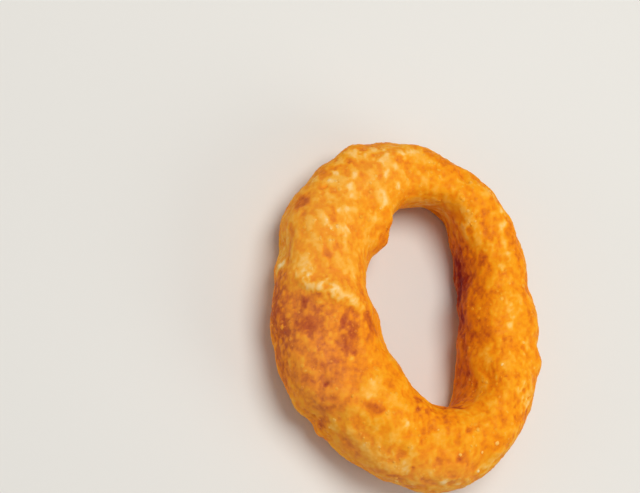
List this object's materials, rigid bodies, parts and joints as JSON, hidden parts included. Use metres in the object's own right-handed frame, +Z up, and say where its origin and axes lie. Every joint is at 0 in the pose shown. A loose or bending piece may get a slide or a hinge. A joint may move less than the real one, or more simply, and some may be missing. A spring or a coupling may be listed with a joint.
{
  "type": "onion ring",
  "caption": "Thick battered onion ring, fried golden brown: an uneven oval ring of crust with a long open centre, lying flat. Food, served as a side.",
  "frame": {"origin": "on the plane that the ring rests on, under the middle of its box", "axes": "+Z up through the hole, +Y along the ring's longer width, +X across its shorter width"},
  "size_m": [0.0626, 0.08, 0.0212],
  "materials": {
    "fried_batter": "golden brown fried batter: granular, mostly matt with small oily glints, paler on raised crumbs and redder where it is thin"
  },
  "bodies": {
    "root": {"onion_ring": "fried_batter"}
  },
  "joints": []
}
